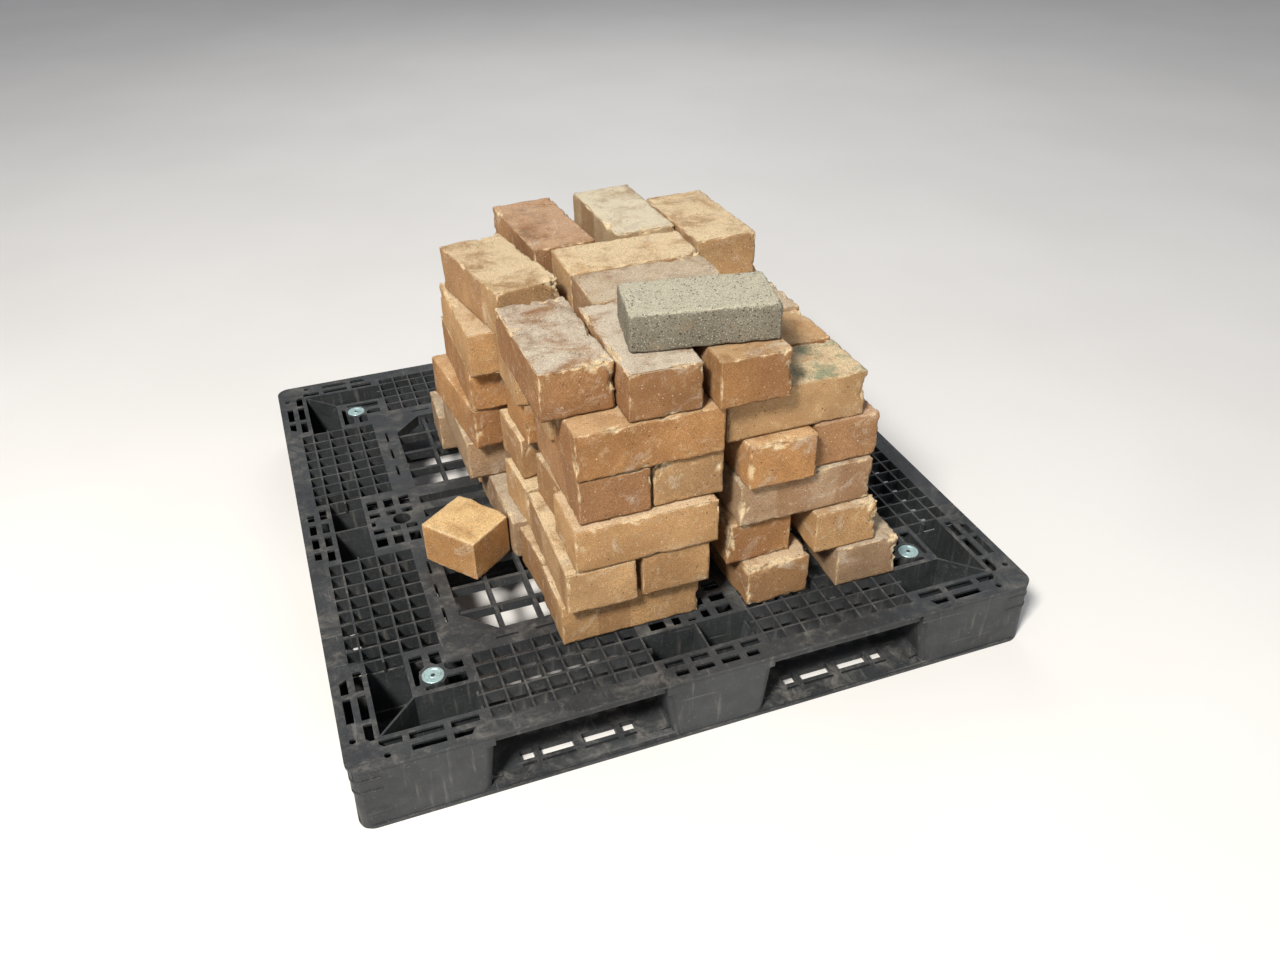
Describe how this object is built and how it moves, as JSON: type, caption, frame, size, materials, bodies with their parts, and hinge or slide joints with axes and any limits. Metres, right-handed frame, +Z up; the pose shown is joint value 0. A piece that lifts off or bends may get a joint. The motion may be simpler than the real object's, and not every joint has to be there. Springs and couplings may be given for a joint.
{
  "type": "pallet of bricks",
  "caption": "Open-grid plastic pallet with fork openings on all sides, carrying a loose stack of used clay bricks.",
  "frame": {"origin": "on the floor under the centre of the pallet", "axes": "+Z up, +X along the pallet's near edge, +Y away from the near edge"},
  "size_m": [1.14, 1.14, 0.653],
  "materials": {
    "deck_plastic": "matte",
    "base_plastic": "matte",
    "disc_zinc": "matte",
    "clay": "matte",
    "concrete": "matte"
  },
  "bodies": {
    "root": {"pallet_deck": "deck_plastic", "pallet_base": "base_plastic", "fixing_discs": "disc_zinc", "course_1": "clay", "course_2": "clay", "course_3": "clay", "course_4": "clay", "course_5": "clay", "course_6": "clay", "half_brick": "clay", "concrete_brick": "concrete"}
  },
  "joints": []
}
